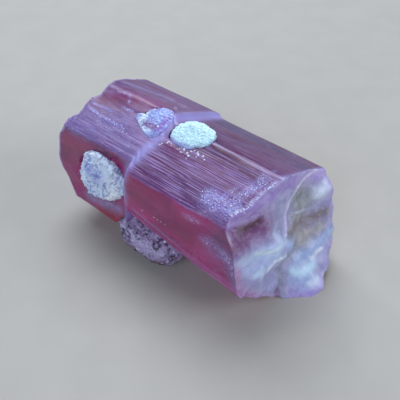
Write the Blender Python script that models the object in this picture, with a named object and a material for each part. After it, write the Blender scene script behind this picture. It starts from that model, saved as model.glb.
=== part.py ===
"""A pink elbaite tourmaline crystal that lies on one prism edge, with four grains of albite grown onto it.

The crystal is a six-sided prism that is longer than it is wide, with ridges along it, a growth ring where
a slimmer far stretch ends and a fuller near stretch starts, and a break across each end. The frame has +X
along the crystal towards its near end and +Z up, and its origin is on the table under the middle of the
whole piece. Across the prism a place is written as (front, up): millimetres from the prism's axis towards
the front, which is -Y, and upwards.
"""

import math

import bmesh
import bpy
from mathutils import Vector, noise

MM = 0.001

# The prism's axis above the table, and the plane of the growth ring along it
AXIS_HEIGHT = 8.9
RING_X = 0.2
RING_SHOULDER = 1.2

# Each face of the prism, in order over the top: the way it looks in degrees, where 0 is the front and 90 is
# up, and its distance from the axis. Each has these at the far break, just before the ring, just after it and
# at the near break.
PRISM_FACES = {
    "back_top": ((119, 8.75), (119, 8.8), (118, 8.25), (118, 8.2)),
    "top": ((66, 8.65), (66, 8.8), (65, 9.0), (65, 8.95)),
    "front": ((5, 7.7), (4, 7.55), (5, 8.95), (5, 8.95)),
    "strip": ((16, 6.8), (16, 6.8), (-8, 8.88), (-8, 9.13)),
    "lower_front": ((-64, 8.55), (-64, 8.6), (-47, 6.2), (-55, 8.54)),
    "foot": ((-90, 8.9), (-90, 8.9), (-90, 8.9), (-90, 8.9)),
    "lower_back": ((-116, 8.9), (-116, 8.9), (-115, 8.95), (-115, 8.95)),
    "back": ((-174, 9.3), (-174, 9.3), (-175, 8.95), (-175, 8.95)),
}
# How many points each face has across it, and how deep its growth ridges are
FACE_POINTS = {
    "back_top": 12,
    "top": 17,
    "front": 10,
    "strip": 4,
    "lower_front": 10,
    "foot": 5,
    "lower_back": 9,
    "back": 11,
}
RIDGE_DEPTHS = {
    "back_top": 0.04,
    "top": 0.06,
    "front": 0.02,
    "strip": 0.07,
    "lower_front": 0.04,
    "foot": 0.0,
    "lower_back": 0.04,
    "back": 0.05,
}
RIDGE_FADE_LENGTH = 9.0
CORNER_WEAR = 0.14

FAR_STATIONS = 9
NEAR_STATIONS = 12
RING_STATIONS = (0.0, 0.3, 0.65, 1.0)
NEAR_CAP_RINGS = 9
FAR_CAP_RINGS = 5
# How round the step over the ring's shoulder is, where 1 is an even quarter turn
RING_ROUNDNESS = 0.8
# The full section is reached early along the near stretch, because the notch under the ring is short
NEAR_SWELL = 0.6

# The breaks, as (front, up, x) at places that their shape needs: round the rim first, then across the middle
NEAR_BREAK = (
    (-9.4, 4.4, 17.2),
    (-4.6, 7.0, 16.9),
    (0.5, 9.5, 16.6),
    (4.0, 8.0, 15.4),
    (7.4, 6.4, 14.1),
    (8.8, 2.3, 15.8),
    (9.1, -1.8, 16.7),
    (7.7, -5.6, 17.0),
    (5.2, -7.3, 17.9),
    (2.9, -8.9, 18.7),
    (1.6, -8.9, 20.9),
    (-0.6, -8.9, 23.3),
    (-2.4, -8.9, 23.3),
    (-4.9, -7.7, 22.5),
    (-7.2, -6.5, 21.5),
    (-8.6, -4.9, 20.7),
    (-8.8, -2.1, 20.2),
    (-9.1, 1.2, 19.3),
    (1.4, 5.4, 15.8),
    (-4.4, 5.8, 16.2),
    (6.0, 3.9, 15.0),
    (1.1, 3.4, 16.5),
    (6.9, 2.2, 16.3),
    (4.6, 0.8, 16.9),
    (2.3, -0.6, 17.9),
    (-0.3, -2.4, 18.3),
    (-3.2, -2.6, 18.9),
    (-4.3, -4.5, 20.0),
    (-6.6, -4.5, 20.3),
    (6.6, -1.0, 16.8),
    (4.4, -4.4, 17.5),
    (-1.6, -3.9, 18.3),
    (-0.3, -5.0, 18.3),
    (0.9, -6.2, 18.4),
    (2.1, -7.8, 18.6),
    (-0.5, -5.9, 20.4),
    (-0.2, -7.6, 20.7),
    (-3.4, -6.6, 21.1),
)
FAR_BREAK = (
    (-9.9, 4.4, -14.6),
    (-5.0, 7.3, -13.4),
    (0.5, 9.3, -11.6),
    (3.8, 8.0, -12.3),
    (7.2, 6.3, -13.2),
    (7.6, 3.2, -14.9),
    (7.8, 0.5, -15.5),
    (8.1, -1.8, -15.2),
    (8.4, -4.4, -13.0),
    (8.6, -5.6, -10.4),
    (4.5, -7.4, -10.9),
    (0.0, -8.9, -11.4),
    (-5.5, -7.4, -12.2),
    (-8.8, -3.0, -13.2),
    (0.0, 3.0, -13.4),
    (2.0, -3.0, -14.2),
    (-4.0, -1.0, -14.0),
)
BREAK_SOFTNESS = 1.1

# The bowl in the near break: the curved crack that bounds it as (front, up), and its depth beyond that crack
CRACK = ((-7.8, 5.6), (-5.0, 5.3), (-3.2, 4.9), (-1.9, 4.3), (-1.1, 3.0), (-0.4, 1.3), (0.9, -0.4))
BOWL_CENTRE = (-4.9, -0.3)
BOWL_HALF_SIZE = (3.0, 3.3)
BOWL_DEPTH = 1.4
CRACK_STEP = 0.45
CRACK_STEP_WIDTH = 0.9
# How soon the step dies out away from the bowl
CRACK_FADE = 0.35

# Shallow chips: x, the way out from the axis in degrees, radius and depth
CHIPS = {
    "far ridge dish": (-10.0, 84.0, 3.4, 0.3),
    "ledge over the side grain": (-3.2, 30.0, 2.3, 0.65),
    "corner chip": (12.4, 31.0, 2.6, 0.6),
    "front end scallop": (14.3, 8.0, 2.6, 0.4),
    "lower end scallop": (15.0, -14.0, 2.4, 0.35),
    "back scallop": (9.0, 182.0, 4.2, 0.5),
    "back far scallop": (-8.0, 196.0, 3.4, 0.6),
    "scallop underneath": (12.0, 238.0, 3.6, 0.45),
}

# Natural unevenness: how high it is and how long its waves are. A slice is the cut taken of the noise.
END_ROUGHNESS = 0.24
END_WAVE = 2.2
NEAR_SLICE = 1.3
FAR_SLICE = 5.5
SKIN_ROUGHNESS = 0.06
SKIN_WAVE_ALONG = 2.9
SKIN_WAVE_ACROSS = 2.0
# The growth ridges: how unlike neighbours are, how many lanes of noise a face has, and their steady part
RIDGE_VARIETY = 0.9
LANES_PER_FACE = 32
STEADY_RIDGE_SHARE = 1.3
STEADY_SLICE = 7.0
# The foot stays flat: its corners keep their edge, and points this near the table aren't roughened
FOOT_CORNER_BAND = 1.0
FOOT_BAND = 0.05

# Albite grains. The place is x, front and up of the middle of the face that the grain sits on. The turn is
# the way that face looks. The outline gives the half-width at equal steps round, starting along +X. Proud and
# sunk are how far it reaches out of and into the crystal, and lumps is how high its own lumps are.
SEAT_GAP = 0.3
GRAINS = {
    "albite_side_grain": dict(
        place=(-6.4, 8.25, 1.3),
        turn=4.0,
        outline=(3.9, 4.0, 3.7, 3.3, 3.1, 3.2, 3.7, 4.7, 4.3, 3.7, 3.3, 3.4),
        proud=0.9,
        sunk=2.0,
        lumps=0.3,
        detail=3,
    ),
    "albite_top_patch": dict(
        place=(3.9, 1.15, 9.3),
        turn=65.0,
        outline=(2.45, 2.5, 1.85, 1.55, 1.6, 1.8, 2.25, 2.65, 2.0, 1.6, 1.5, 1.5),
        proud=0.38,
        sunk=0.9,
        lumps=0.1,
        detail=3,
    ),
    "albite_ridge_patch": dict(
        place=(-1.95, 1.5, 9.0),
        turn=66.0,
        outline=(1.6, 1.7, 2.0, 2.0, 1.7, 1.5, 2.2, 1.9, 1.65, 1.7, 1.9, 1.8),
        proud=0.22,
        sunk=0.8,
        lumps=0.1,
        detail=2,
    ),
    "albite_base_grain": dict(
        place=(1.3, 7.2, -6.1),
        turn=-20.0,
        outline=(5.4, 4.3, 2.8, 2.6, 3.0, 4.3, 5.6, 4.6, 3.0, 2.5, 2.6, 3.8),
        proud=2.3,
        sunk=3.7,
        lumps=0.3,
        detail=3,
    ),
}
GRAIN_LOWEST = 0.12
# Under 1, these make a ball blunt: its rim steep and its top flat
GRAIN_RIM_BLUNTNESS = 0.75
GRAIN_TOP_BLUNTNESS = 0.62
# Waves of noise round a grain, for its outline and its top, and how much stronger the outline's are
OUTLINE_LUMPS = 2.6
TOP_LUMPS = 4.1
OUTLINE_LUMP_GAIN = 2.2

CRYSTAL_PINK = (0.42, 0.07, 0.19, 1.0)
CRYSTAL_ROUGHNESS = 0.25
ALBITE_WHITE = (0.66, 0.74, 0.84, 1.0)
ALBITE_ROUGHNESS = 0.7


def place_of(x, front, up):
    """A point in metres from its x, front and up in millimetres."""
    return Vector((x, -front, AXIS_HEIGHT + up)) * MM


def mix(a, b, share):
    return a + (b - a) * share


def smooth_share(value, low, high):
    """0 below low, 1 above high and smooth between them."""
    share = min(max((value - low) / (high - low), 0.0), 1.0)
    return share * share * (3.0 - 2.0 * share)


def surface_through(points, front, up):
    """The x of a smooth surface near every (front, up, x) point, each counting by its nearness."""
    total = weights = 0.0
    for point_front, point_up, x in points:
        weight = (math.hypot(front - point_front, up - point_up) ** 2 + BREAK_SOFTNESS**2) ** -2
        total += weight * x
        weights += weight
    return total / weights


def side_of_crack(front, up):
    """How far a place lies beyond the crack, on the bowl's side of it, in millimetres."""
    nearest, side = math.inf, 0.0
    for (front_a, up_a), (front_b, up_b) in zip(CRACK, CRACK[1:]):
        along = Vector((front_b - front_a, up_b - up_a))
        away = Vector((front - front_a, up - up_a))
        share = min(max(away.dot(along) / along.length_squared, 0.0), 1.0)
        distance = (away - along * share).length
        if distance < nearest:
            nearest = distance
            side = -1.0 if along.x * away.y - along.y * away.x > 0 else 1.0
    return nearest * side


def near_break_x(front, up):
    x = surface_through(NEAR_BREAK, front, up)
    across = (front - BOWL_CENTRE[0]) / BOWL_HALF_SIZE[0]
    height = (up - BOWL_CENTRE[1]) / BOWL_HALF_SIZE[1]
    x -= BOWL_DEPTH * math.exp(-(across**2 + height**2))
    beyond = smooth_share(side_of_crack(front, up), -CRACK_STEP_WIDTH / 2, CRACK_STEP_WIDTH / 2)
    x -= CRACK_STEP * beyond * math.exp(-CRACK_FADE * (across**2 + height**2))
    return x + END_ROUGHNESS * noise.noise(Vector((front / END_WAVE, up / END_WAVE, NEAR_SLICE)))


def far_break_x(front, up):
    x = surface_through(FAR_BREAK, front, up)
    return x + END_ROUGHNESS * noise.noise(Vector((front / END_WAVE, up / END_WAVE, FAR_SLICE)))


def meeting_point(line_a, line_b):
    """Where two lines, each an (angle, distance), cross, as (front, up)."""
    angle_a, angle_b = math.radians(line_a[0]), math.radians(line_b[0])
    turn = math.sin(angle_b - angle_a)
    front = (line_a[1] * math.sin(angle_b) - line_b[1] * math.sin(angle_a)) / turn
    up = (line_b[1] * math.cos(angle_a) - line_a[1] * math.cos(angle_b)) / turn
    return Vector((front, up))


def corners_at(station, share):
    """Each face's first corner, at a share of the way from one station of PRISM_FACES to the next."""
    faces = list(PRISM_FACES.values())
    corners = []
    for before, face in zip(faces[-1:] + faces, faces):
        here = meeting_point(before[station], face[station])
        there = meeting_point(before[station + 1], face[station + 1])
        corners.append(here.lerp(there, share))
    return corners


def ridge_height(name, step, x):
    """How far a growth ridge stands out of its face: a steady part and one that comes and goes along x."""
    lane = RIDGE_VARIETY * (LANES_PER_FACE * list(PRISM_FACES).index(name) + step)
    here = noise.noise(Vector((lane, x / RIDGE_FADE_LENGTH, 0.0)))
    steady = noise.noise(Vector((lane, 0.0, STEADY_SLICE)))
    return RIDGE_DEPTHS[name] * (here + STEADY_RIDGE_SHARE * steady)


def section_points(corners, x):
    """The prism's outline at x as a list of (front, up), in the order of PRISM_FACES."""
    points = []
    for i, name in enumerate(PRISM_FACES):
        start, end = corners[i], corners[(i + 1) % len(corners)]
        edge = (end - start).normalized()
        outwards = Vector((-edge.y, edge.x))
        worn = CORNER_WEAR if start.y > -AXIS_HEIGHT + FOOT_CORNER_BAND else 0.0
        points.append(start - start.normalized() * worn)
        for step in range(1, FACE_POINTS[name]):
            point = start.lerp(end, step / FACE_POINTS[name])
            points.append(point + outwards * ridge_height(name, step, x))
    return points


def with_chips(x, point):
    """Moves a surface point inwards where a chip has taken some of the skin away."""
    way_out = math.degrees(math.atan2(point.y, point.x))
    radius = point.length
    for chip_x, chip_way, chip_radius, depth in CHIPS.values():
        turn = (way_out - chip_way + 180.0) % 360.0 - 180.0
        distance = math.hypot(x - chip_x, math.radians(turn) * radius)
        if distance < chip_radius:
            point = point - point.normalized() * depth * (1.0 - (distance / chip_radius) ** 2)
    return point


def skin_point(x, point):
    """A section point in metres, with its chips and a little unevenness, and never under the table."""
    point = with_chips(x, point)
    if point.y > -AXIS_HEIGHT + FOOT_BAND:
        wave = Vector((x / SKIN_WAVE_ALONG, point.x / SKIN_WAVE_ACROSS, point.y / SKIN_WAVE_ACROSS))
        point = point + point.normalized() * SKIN_ROUGHNESS * noise.noise(wave)
    return place_of(x, point.x, max(point.y, -AXIS_HEIGHT))


def far_sections():
    """Rings of points from the far break to the ring's plane."""
    rim = section_points(corners_at(0, 0.0), FAR_BREAK[0][2])
    for i in range(FAR_STATIONS):
        share = i / FAR_STATIONS
        corners = corners_at(0, share)
        ring = []
        for j, rim_point in enumerate(rim):
            x = mix(far_break_x(rim_point.x, rim_point.y), RING_X, share)
            ring.append(skin_point(x, section_points(corners, x)[j]))
        yield ring


def ring_sections():
    """The step at the growth ring, rounded over its shoulder."""
    for share in RING_STATIONS:
        x = RING_X + RING_SHOULDER * share
        risen = math.sin(share * math.pi / 2) ** RING_ROUNDNESS
        yield [skin_point(x, point) for point in section_points(corners_at(1, risen), x)]


def near_sections():
    """Rings of points from the ring's shoulder to the near break."""
    rim = section_points(corners_at(2, 1.0), NEAR_BREAK[0][2])
    start_x = RING_X + RING_SHOULDER
    for i in range(1, NEAR_STATIONS + 1):
        share = i / NEAR_STATIONS
        corners = corners_at(2, share**NEAR_SWELL)
        ring = []
        for j, rim_point in enumerate(rim):
            x = mix(start_x, near_break_x(rim_point.x, rim_point.y), share)
            ring.append(skin_point(x, section_points(corners, x)[j]))
        yield ring


def cap_sections(rim, break_x, count):
    """Smaller and smaller rings of points across a break, inside its rim."""
    flat = [Vector((-point.y / MM, point.z / MM - AXIS_HEIGHT)) for point in rim]
    middle = sum(flat, Vector((0.0, 0.0))) / len(flat)
    for i in range(1, count):
        ring = []
        for point in flat:
            place = point.lerp(middle, i / count)
            ring.append(place_of(break_x(place.x, place.y), place.x, place.y))
        yield ring
    yield place_of(break_x(middle.x, middle.y), middle.x, middle.y)


def add_object(name, mesh, colour, roughness):
    material = bpy.data.materials.new(name + "_finish")
    material.use_nodes = True
    shader = material.node_tree.nodes["Principled BSDF"]
    shader.inputs["Base Color"].default_value = colour
    shader.inputs["Roughness"].default_value = roughness
    shader.inputs["Metallic"].default_value = 0.0
    mesh.materials.append(material)
    obj = bpy.data.objects.new(name, mesh)
    bpy.context.scene.collection.objects.link(obj)
    return obj


def mesh_from(build, name):
    """Closes a bmesh with its faces looking out, and turns it into a mesh."""
    bmesh.ops.recalc_face_normals(build, faces=build.faces)
    if build.calc_volume(signed=True) < 0:
        bmesh.ops.reverse_faces(build, faces=build.faces)
    mesh = bpy.data.meshes.new(name)
    build.to_mesh(mesh)
    build.free()
    return mesh


def bridge(build, ring_a, ring_b):
    count = len(ring_a)
    for i in range(count):
        after = (i + 1) % count
        build.faces.new((ring_a[i], ring_a[after], ring_b[after], ring_b[i]))


def close_with_cap(build, rim, break_x, count):
    """Fills one end with rings of faces and a fan round its middle."""
    *rings, middle = cap_sections([vert.co for vert in rim], break_x, count)
    last = rim
    for ring in rings:
        verts = [build.verts.new(point) for point in ring]
        bridge(build, last, verts)
        last = verts
    centre = build.verts.new(middle)
    for i, vert in enumerate(last):
        build.faces.new((vert, last[(i + 1) % len(last)], centre))


def build_crystal():
    build = bmesh.new()
    sections = [*far_sections(), *ring_sections(), *near_sections()]
    rings = [[build.verts.new(point) for point in section] for section in sections]
    for ring_a, ring_b in zip(rings, rings[1:]):
        bridge(build, ring_a, ring_b)
    close_with_cap(build, rings[0], far_break_x, FAR_CAP_RINGS)
    close_with_cap(build, rings[-1], near_break_x, NEAR_CAP_RINGS)
    name = "tourmaline_crystal"
    return add_object(name, mesh_from(build, name), CRYSTAL_PINK, CRYSTAL_ROUGHNESS)


def half_width(outline, way):
    """The outline's half-width in a direction, in radians, curved between the given steps."""
    place = (way / math.tau) % 1.0 * len(outline)
    step = int(place)
    share = smooth_share(place - step, 0.0, 1.0)
    return mix(outline[step % len(outline)], outline[(step + 1) % len(outline)], share)


def grain_mesh(name, place, turn, outline, proud, sunk, lumps, detail, grown=0.0):
    """A blunt grain: a ball that takes the outline round its edge, and one height each way from its face."""
    build = bmesh.new()
    bmesh.ops.create_icosphere(build, subdivisions=detail, radius=1.0)
    middle = place_of(*place)
    out = Vector((0.0, -math.cos(math.radians(turn)), math.sin(math.radians(turn))))
    along = Vector((1.0, 0.0, 0.0))
    across = out.cross(along)
    for vert in build.verts:
        ball = vert.co.normalized()
        reach = math.hypot(ball.x, ball.y) ** GRAIN_RIM_BLUNTNESS
        way = math.atan2(ball.y, ball.x)
        wide = (half_width(outline, way) + grown) * reach
        height = (proud if ball.z > 0 else sunk) + grown
        rise = math.copysign(abs(ball.z) ** GRAIN_TOP_BLUNTNESS, ball.z) * height
        if ball.z > 0:
            rise += lumps * noise.noise(ball * TOP_LUMPS + middle / MM)
        outline_lump = noise.noise(ball * OUTLINE_LUMPS + middle / MM) * OUTLINE_LUMP_GAIN
        wide *= 1.0 + lumps / max(outline) * outline_lump
        vert.co = middle + (along * math.cos(way) * wide + across * math.sin(way) * wide + out * rise) * MM
        vert.co.z = max(vert.co.z, (GRAIN_LOWEST - grown * 2) * MM)
    return mesh_from(build, name)


def build_grains(crystal):
    """Each grain sits in a seat that is cut into the crystal a little larger than the grain."""
    grains = []
    for name, grain in GRAINS.items():
        grains.append(add_object(name, grain_mesh(name, **grain), ALBITE_WHITE, ALBITE_ROUGHNESS))
        seat_mesh = grain_mesh(name + "_seat", **grain, grown=SEAT_GAP)
        cutter = add_object(name + "_seat", seat_mesh, ALBITE_WHITE, ALBITE_ROUGHNESS)
        cutter.hide_render = True
        cutter.display_type = "WIRE"
        seat = crystal.modifiers.new("seat_of_" + name, "BOOLEAN")
        seat.operation = "DIFFERENCE"
        seat.solver = "EXACT"
        seat.object = cutter
    return grains


def centre_on_table(objects):
    """Moves every mesh so that the origin is under the middle of the finished pieces."""
    bpy.context.view_layer.update()
    graph = bpy.context.evaluated_depsgraph_get()
    points = []
    for obj in objects:
        evaluated = obj.evaluated_get(graph)
        points += [vert.co.copy() for vert in evaluated.data.vertices]
    low = Vector([min(point[i] for point in points) for i in range(3)])
    high = Vector([max(point[i] for point in points) for i in range(3)])
    shift = Vector(((low.x + high.x) / 2, (low.y + high.y) / 2, low.z))
    for obj in bpy.data.objects:
        for vert in obj.data.vertices:
            vert.co -= shift


def main():
    for obj in list(bpy.data.objects):
        bpy.data.objects.remove(obj)
    crystal = build_crystal()
    grains = build_grains(crystal)
    centre_on_table([crystal, *grains])


main()
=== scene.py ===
"""Dresses an elbaite tourmaline crystal: the pink prism, the albite grown onto it, and a plain studio.

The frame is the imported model's: metres, +X along the crystal towards its near, obliquely broken end, +Z up,
and the origin on the table. A place on the crystal is written as (x, front, up) in millimetres, where front
is -Y and both front and up start from the prism's axis. A place on the near break leaves out x.
"""

import functools
import math
import random

import bpy
import numpy as np
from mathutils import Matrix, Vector, noise


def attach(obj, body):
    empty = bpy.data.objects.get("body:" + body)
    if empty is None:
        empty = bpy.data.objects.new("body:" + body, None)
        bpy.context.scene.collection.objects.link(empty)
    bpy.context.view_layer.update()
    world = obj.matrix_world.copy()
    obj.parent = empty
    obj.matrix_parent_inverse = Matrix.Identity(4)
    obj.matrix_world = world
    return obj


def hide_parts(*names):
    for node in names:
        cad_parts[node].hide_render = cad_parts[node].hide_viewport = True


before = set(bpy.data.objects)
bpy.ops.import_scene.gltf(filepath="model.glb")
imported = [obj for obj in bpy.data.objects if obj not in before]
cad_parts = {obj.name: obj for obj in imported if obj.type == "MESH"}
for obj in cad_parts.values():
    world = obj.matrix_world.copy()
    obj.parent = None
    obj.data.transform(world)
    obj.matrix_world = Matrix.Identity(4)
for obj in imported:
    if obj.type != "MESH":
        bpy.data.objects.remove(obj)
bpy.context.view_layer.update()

bl_info = {
    "name": "Elbaite Tourmaline Crystal",
    "version": (1, 0, 0),
    "blender": (4, 5, 0),
    "location": "View3D > Sidebar > Crystal",
    "description": "Adds a pink tourmaline crystal with grains of albite, and a studio for it",
    "category": "Add Mesh",
}

MM = 0.001

# In mm: the prism's axis above the table, the middle of the solid's growth ring along x, and how far along
# the prism the ring's move to its curved line fades out
AXIS_HEIGHT = 8.9
RING_X = -3.0
RING_REACH = 3.0

# How loose triangles become one skin: what gap is closed, and how unlike two triangles of one quad may be
WELD_GAP = 0.004 * MM
QUAD_FACES = math.radians(40)
QUAD_SHAPES = math.radians(60)
# From which angle an edge of the prism counts as sharp, how much of it the refinement keeps, and up to which
# angle the faces of the prism and of a grain are shaded as one
SHARP_EDGE = math.radians(34)
EDGE_CREASE = 0.6
PRISM_SHADING = math.radians(40)
GRAIN_SHADING = math.radians(30)
# How strong a step of smoothing is, and how many steps the far end takes all ways and along x alone, and the
# worn rim of the near break takes. A weight below the least one counts as none.
SMOOTHING = 0.6
FAR_END_STEPS = 14
FAR_TIP_STEPS = 120
RIM_STEPS = 8
LEAST_WEIGHT = 0.001
# The broad unevenness of the whole prism, and the grain of its broken ends
WAVE_HEIGHT = 0.05 * MM
WAVE_SIZE = 2.6 * MM
HACKLE_SIZE = 0.7 * MM

# Refractive index of each mineral
TOURMALINE_IOR = 1.63
ALBITE_IOR = 1.53


def linear(hex_colour):
    """A colour of #rrggbb in the linear values that shaders use."""
    parts = [int(hex_colour[i : i + 2], 16) / 255 for i in (1, 3, 5)]
    return [part / 12.92 if part <= 0.04045 else ((part + 0.055) / 1.055) ** 2.4 for part in parts]


# The near break's forms as lines of (front, up): the curved crack over the bowl, the crest that crosses
# the break from the front and from the back, the furrow below it, the edge of the knob beside the furrow, the
# thin lip that curls off the crest, and where clear glass of the front face cuts into the milky break
CRACK = ((-7.8, 5.6), (-5.0, 5.3), (-3.2, 4.9), (-1.9, 4.3), (-1.1, 3.0), (-0.4, 1.3), (0.9, -0.4))
CREST = ((8.5, 2.6), (7.2, 2.3), (5.3, 1.3), (3.1, 0.3), (1.4, 0.2), (0.6, -0.6), (-1.0, -2.4))
BACK_CREST = ((-1.0, -4.9), (-2.8, -5.0), (-5.3, -4.6), (-7.2, -4.3), (-8.5, -4.3))
FURROW = ((-1.2, -4.0), (0.8, -3.3), (2.0, -3.7), (1.8, -5.2), (1.7, -6.2), (2.5, -7.4), (2.7, -8.4))
KNOB_EDGE = ((-0.4, -4.9), (0.5, -5.2), (1.0, -6.2), (1.3, -7.2), (1.6, -8.4))
LIP = ((3.9, -3.2), (3.5, -2.6), (2.8, -2.0), (1.4, -2.35), (0.7, -2.7))
CUT_IN = ((9.2, 4.4), (6.4, 3.9), (4.0, 3.8))
# A smooth dish on top of the far stretch, as (x, front, up)
DISH = ((-14.6, 1.8, 8.5), (-11.5, 0.2, 9.1), (-7.5, -0.8, 9.2))
# Where the top face meets the near break
TOP_RIM = (
    (13.3, -8.8, 4.5), (12.8, -5.9, 5.7), (12.7, -1.7, 7.9), (12.6, 0.6, 9.2), (11.9, 2.7, 8.6),
    (11.1, 5.3, 7.4), (10.3, 6.6, 6.8),
)
# The dull skin under the side grain
SKIN = ((-13.4, 8.4, -3.6), (-10.5, 8.3, -3.4), (-7.4, 8.1, -2.8))
# Where cloudy glass blurs the edge between the front face and the near break
VEIL = ((11.2, 8.6, 2.6), (12.2, 8.7, 0.4), (13.0, 8.6, -2.0), (13.6, 8.5, -4.0))
# The low front corner of the near break, worn round over its reach, and the glass above it that stays clear
LOW_CORNER = ((13.6, 8.6, -4.6), (1.6, 1.6, 1.6))
CLEAR_SPOT = ((11.0, 8.0, 4.3), (1.6, 1.8, 1.8))
# Where the growth ring lies along x, by the way round the axis in degrees over the front
RING_LINE = {
    -180: -3.6, -90: -3.8, -35: -4.6, 0: -5.3, 25: -5.2, 45: -4.2, 58: -3.9, 70: -3.3, 84: -3.1, 100: -3.2,
    180: -3.6,
}

# Frost on the crystal's faces. Each has the line it follows, how far it fades to either side in mm, and its
# strength; for the spots, the middle and the reach in mm each way take the place of the line and its width.
FROST_LINES = {
    "worn front end of the top": (((7.0, 6.3, 7.0), (9.8, 6.3, 7.0)), 1.2, 1.2),
    "band along the near rim": (((9.8, 5.4, 7.3), (10.6, 1.6, 9.1)), 0.55, 0.6),
    "long streak before the rim": (((9.3, 4.9, 7.7), (11.3, 0.2, 9.3)), 0.3, 0.6),
    "far streak before the rim": (((8.2, 5.2, 7.5), (9.4, 2.8, 8.6)), 0.3, 0.6),
    "near streak before the rim": (((10.4, 3.9, 8.1), (11.6, 1.6, 9.1)), 0.3, 0.6),
    "skin under the side grain": (SKIN, 0.7, 0.4),
    "veil beside the near break": (VEIL, 0.9, 0.5),
    "back edge of the far stretch": (((-15.1, -3.1, 8.3), (-9.4, -5.1, 7.2), (-6.1, -4.6, 7.5)), 0.9, 0.45),
    "long scratch on the far top": (((-15.9, 3.7, 7.8), (-12.7, 4.0, 7.7), (-9.1, 4.1, 7.8)), 0.18, 0.8),
    "scratch behind it": (((-15.5, 2.9, 8.1), (-12.0, 2.7, 8.2)), 0.18, 0.8),
    "hooked scratch": (((-13.6, 0.2, 9.2), (-11.6, -0.3, 9.4), (-10.9, 0.9, 9.1)), 0.18, 0.8),
    "scratch before the ridge patch": (((-11.3, 1.7, 8.6), (-9.4, 1.7, 8.8)), 0.18, 0.8),
    "scratch behind the ridge patch": (((-6.1, -2.9, 8.4), (-4.9, -1.4, 9.1)), 0.18, 0.8),
    "scratch on the back edge": (((-8.8, -3.2, 8.3), (-7.2, -3.4, 8.2)), 0.18, 0.8),
    "upper pale line along the front": (((-3.4, 8.9, 0.6), (12.2, 8.7, -2.6)), 0.2, 0.75),
    "middle pale line along the front": (((-3.8, 8.7, -0.7), (12.2, 8.6, -3.5)), 0.2, 0.75),
    "lower pale line along the front": (((-4.2, 8.5, -1.9), (11.8, 8.4, -4.3)), 0.2, 0.75),
}
FROST_SPOTS = {
    "chips beside the near break": ((9.6, 8.7, 2.0), (1.8, 1.5, 2.2), 0.25),
    "upper wisp": ((8.3, 8.6, 2.8), (1.0, 1.0, 0.5), 0.45),
    "near wisp": ((10.7, 8.5, 1.8), (0.9, 1.0, 0.8), 0.4),
    "wisp under the top": ((6.0, 8.4, 4.8), (1.2, 1.0, 0.5), 0.5),
}

# The near break's own colour, and the far one's with its greyer patches and pale crests
BREAK_BASE = "#a9a4d0"
FAR_BREAK_BASE = "#a888c6"
FAR_BREAK_GREY = "#8e88a6"
FAR_BREAK_PALE = "#c9c2f0"
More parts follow.
